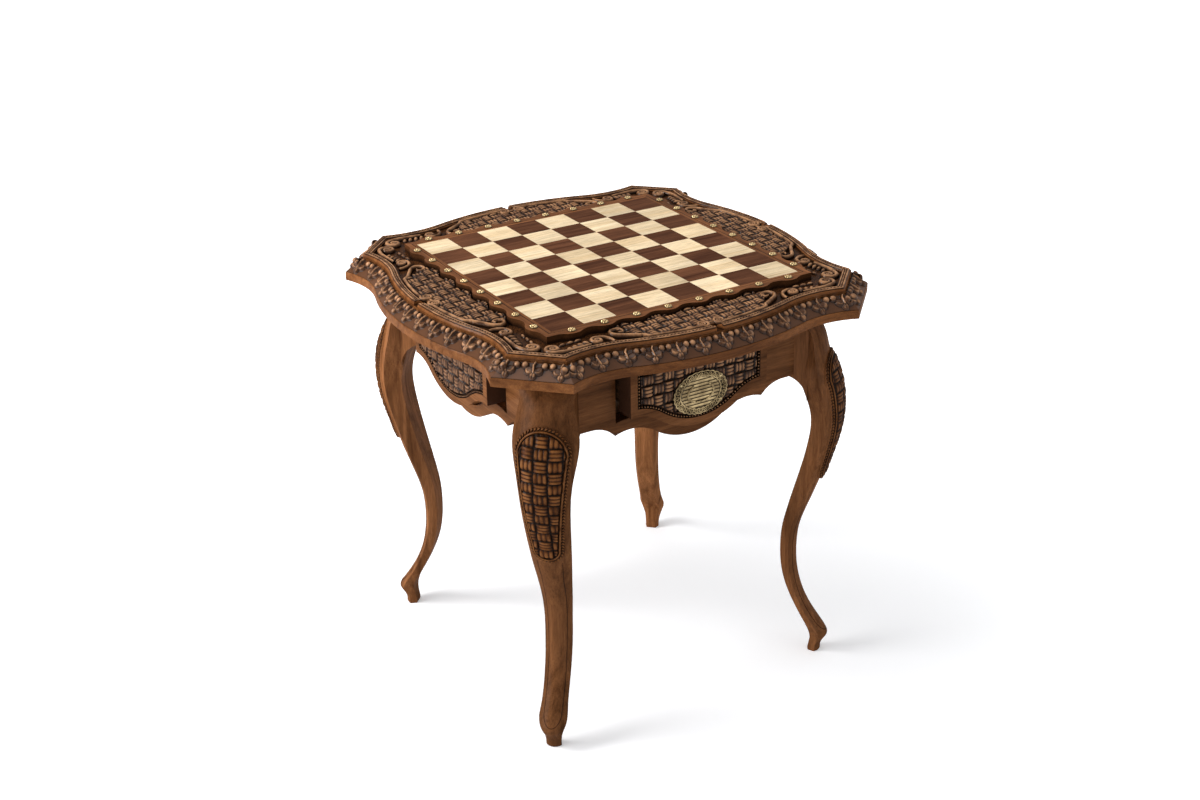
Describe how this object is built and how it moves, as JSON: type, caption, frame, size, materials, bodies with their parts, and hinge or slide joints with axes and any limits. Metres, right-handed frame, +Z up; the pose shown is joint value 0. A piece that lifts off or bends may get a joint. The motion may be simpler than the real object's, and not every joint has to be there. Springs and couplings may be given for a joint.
{
  "type": "chess table",
  "caption": "Square chess table with serpentine carved top, inlaid board, brass studs, cabriole legs and a carved drawer in each side.",
  "frame": {"origin": "on the floor under the middle of the table", "axes": "+Z up; -Y is the front, where the drawer with the plaque opens; +X to the right seen from the front"},
  "size_m": [0.644, 0.644, 0.6223],
  "materials": {
    "carved_walnut": "hand carved, stained and waxed",
    "leg_walnut": "satin lacquer",
    "rail_walnut": "satin lacquer",
    "border_wood": "satin lacquer",
    "board_light": "gloss lacquer",
    "board_dark": "gloss lacquer",
    "inner_wood": "unfinished",
    "ply": "unfinished",
    "stud_brass": "polished",
    "plaque_brass": "antique",
    "screw_steel": "plain"
  },
  "bodies": {
    "table": {"board_core": "inner_wood", "border_back": "border_wood", "border_front": "border_wood", "border_left": "border_wood", "border_right": "border_wood", "border_studs": "stud_brass", "brace_back_left": "inner_wood", "brace_back_right": "inner_wood", "brace_front_left": "inner_wood", "brace_front_right": "inner_wood", "brace_screws": "screw_steel", "button_screws": "screw_steel", "dark_squares": "board_dark", "kickers": "inner_wood", "leg_back_left": "leg_walnut", "leg_back_right": "leg_walnut", "leg_front_left": "leg_walnut", "leg_front_right": "leg_walnut", "light_squares": "board_light", "rail_back": "rail_walnut", "rail_front": "rail_walnut", "rail_left": "rail_walnut", "rail_right": "rail_walnut", "runner_left": "inner_wood", "runner_right": "inner_wood", "short_kickers": "inner_wood", "short_runners": "inner_wood", "stop_bar": "inner_wood", "top_buttons": "inner_wood", "top_panel": "carved_walnut"},
    "drawer_back": {"drawer_back_back": "inner_wood", "drawer_back_bottom": "ply", "drawer_back_front": "carved_walnut", "drawer_back_wall_a": "inner_wood", "drawer_back_wall_b": "inner_wood"},
    "drawer_front": {"drawer_front_back": "inner_wood", "drawer_front_bottom": "ply", "drawer_front_front": "carved_walnut", "drawer_front_wall_a": "inner_wood", "drawer_front_wall_b": "inner_wood", "plaque": "plaque_brass", "plaque_pins": "plaque_brass"},
    "drawer_left": {"drawer_left_back": "inner_wood", "drawer_left_bottom": "ply", "drawer_left_front": "carved_walnut", "drawer_left_wall_a": "inner_wood", "drawer_left_wall_b": "inner_wood"},
    "drawer_right": {"drawer_right_back": "inner_wood", "drawer_right_bottom": "ply", "drawer_right_front": "carved_walnut", "drawer_right_wall_a": "inner_wood", "drawer_right_wall_b": "inner_wood"}
  },
  "joints": [
    {"name": "drawer_front_slide", "type": "slide", "parent": "table", "child": "drawer_front", "axis": [0, -1, 0], "range_m": [0, 0.15]},
    {"name": "drawer_back_slide", "type": "slide", "parent": "table", "child": "drawer_back", "axis": [0, 1, 0], "range_m": [0, 0.15]},
    {"name": "drawer_left_slide", "type": "slide", "parent": "table", "child": "drawer_left", "axis": [-1, 0, 0], "range_m": [0, 0.067]},
    {"name": "drawer_right_slide", "type": "slide", "parent": "table", "child": "drawer_right", "axis": [1, 0, 0], "range_m": [0, 0.067]}
  ]
}
